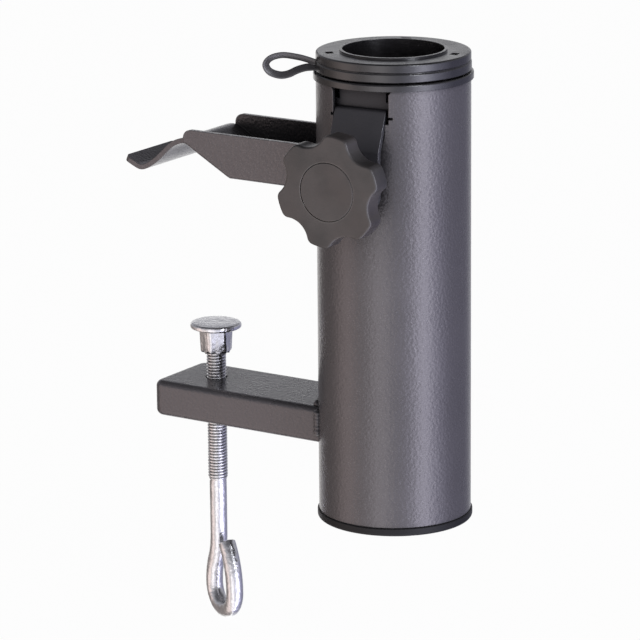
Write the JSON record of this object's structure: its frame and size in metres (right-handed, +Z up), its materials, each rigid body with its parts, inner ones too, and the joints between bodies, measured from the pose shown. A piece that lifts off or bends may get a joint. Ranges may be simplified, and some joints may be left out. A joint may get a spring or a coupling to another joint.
{
  "type": "parasol pole clamp",
  "caption": "Balcony-rail clamp with a round socket tube for a parasol pole, a hook arm, an eye screw with a pressure foot, and a star knob that clamps the pole.",
  "frame": {"origin": "centre of the underside of the bottom cap, on the axis of the socket tube", "axes": "+Z up along the socket tube; -X from the tube along the two arms; the star knob faces -Y, turned 4 degrees towards +X"},
  "size_m": [0.1477, 0.0861, 0.2439],
  "materials": {
    "tube_paint": "satin",
    "black_plastic": "satin",
    "zinc_plate": "gloss",
    "knob_plastic": "matte",
    "lever_steel": "satin"
  },
  "bodies": {
    "socket": {"socket_tube": "tube_paint", "bottom_cap": "black_plastic", "top_bushing": "black_plastic", "hook_arm": "tube_paint", "hook_arm_welds": "tube_paint", "clamp_arm": "tube_paint", "clamp_arm_welds": "tube_paint", "clamp_nut": "zinc_plate"},
    "foot": {"pressure_foot": "zinc_plate", "foot_clip": "zinc_plate"},
    "screw": {"clamp_screw": "zinc_plate"},
    "lever": {"clamp_lever": "lever_steel", "lever_nut": "zinc_plate"},
    "shoe": {"thrust_shoe": "zinc_plate"},
    "knob": {"knob_body": "knob_plastic", "knob_cap": "knob_plastic", "knob_bolt": "zinc_plate"},
    "large_sleeve": {"large_reducer": "black_plastic", "pull_strap": "black_plastic"},
    "small_sleeve": {"small_reducer": "black_plastic"}
  },
  "joints": [
    {"name": "screw_spin", "type": "hinge", "parent": "foot", "child": "screw", "pos_m": [-0.085, 0, 0.04], "axis": [0, 0, 1], "range_deg": [-3025, 9505]},
    {"name": "foot_travel", "type": "slide", "parent": "socket", "child": "foot", "axis": [0, 0, 1], "range_m": [-0.0105, 0.033]},
    {"name": "lever_rock", "type": "hinge", "parent": "socket", "child": "lever", "pos_m": [0.00174, -0.02484, 0.1699], "axis": [0.9976, 0.0698, 0], "range_deg": [-12.47, 0]},
    {"name": "bolt_travel", "type": "slide", "parent": "lever", "child": "shoe", "axis": [-0.0698, 0.9976, 0], "range_m": [0, 0.00622]},
    {"name": "knob_spin", "type": "hinge", "parent": "shoe", "child": "knob", "pos_m": [0.00349, -0.04988, 0.1412], "axis": [-0.0698, 0.9976, 0], "range_deg": [0, 1790]},
    {"name": "large_lift", "type": "slide", "parent": "socket", "child": "large_sleeve", "axis": [0, 0, 1], "range_m": [0, 0.045]},
    {"name": "small_lift", "type": "slide", "parent": "large_sleeve", "child": "small_sleeve", "axis": [0, 0, 1], "range_m": [0, 0.045]}
  ],
  "couplings": [
    {"joint": "screw_spin", "follows": "foot_travel", "rad_per_m": 5026.5},
    {"joint": "bolt_travel", "follows": "knob_spin", "m_per_rad": 0.00019894},
    {"joint": "lever_rock", "follows": "knob_spin", "ratio": -0.0069624}
  ]
}
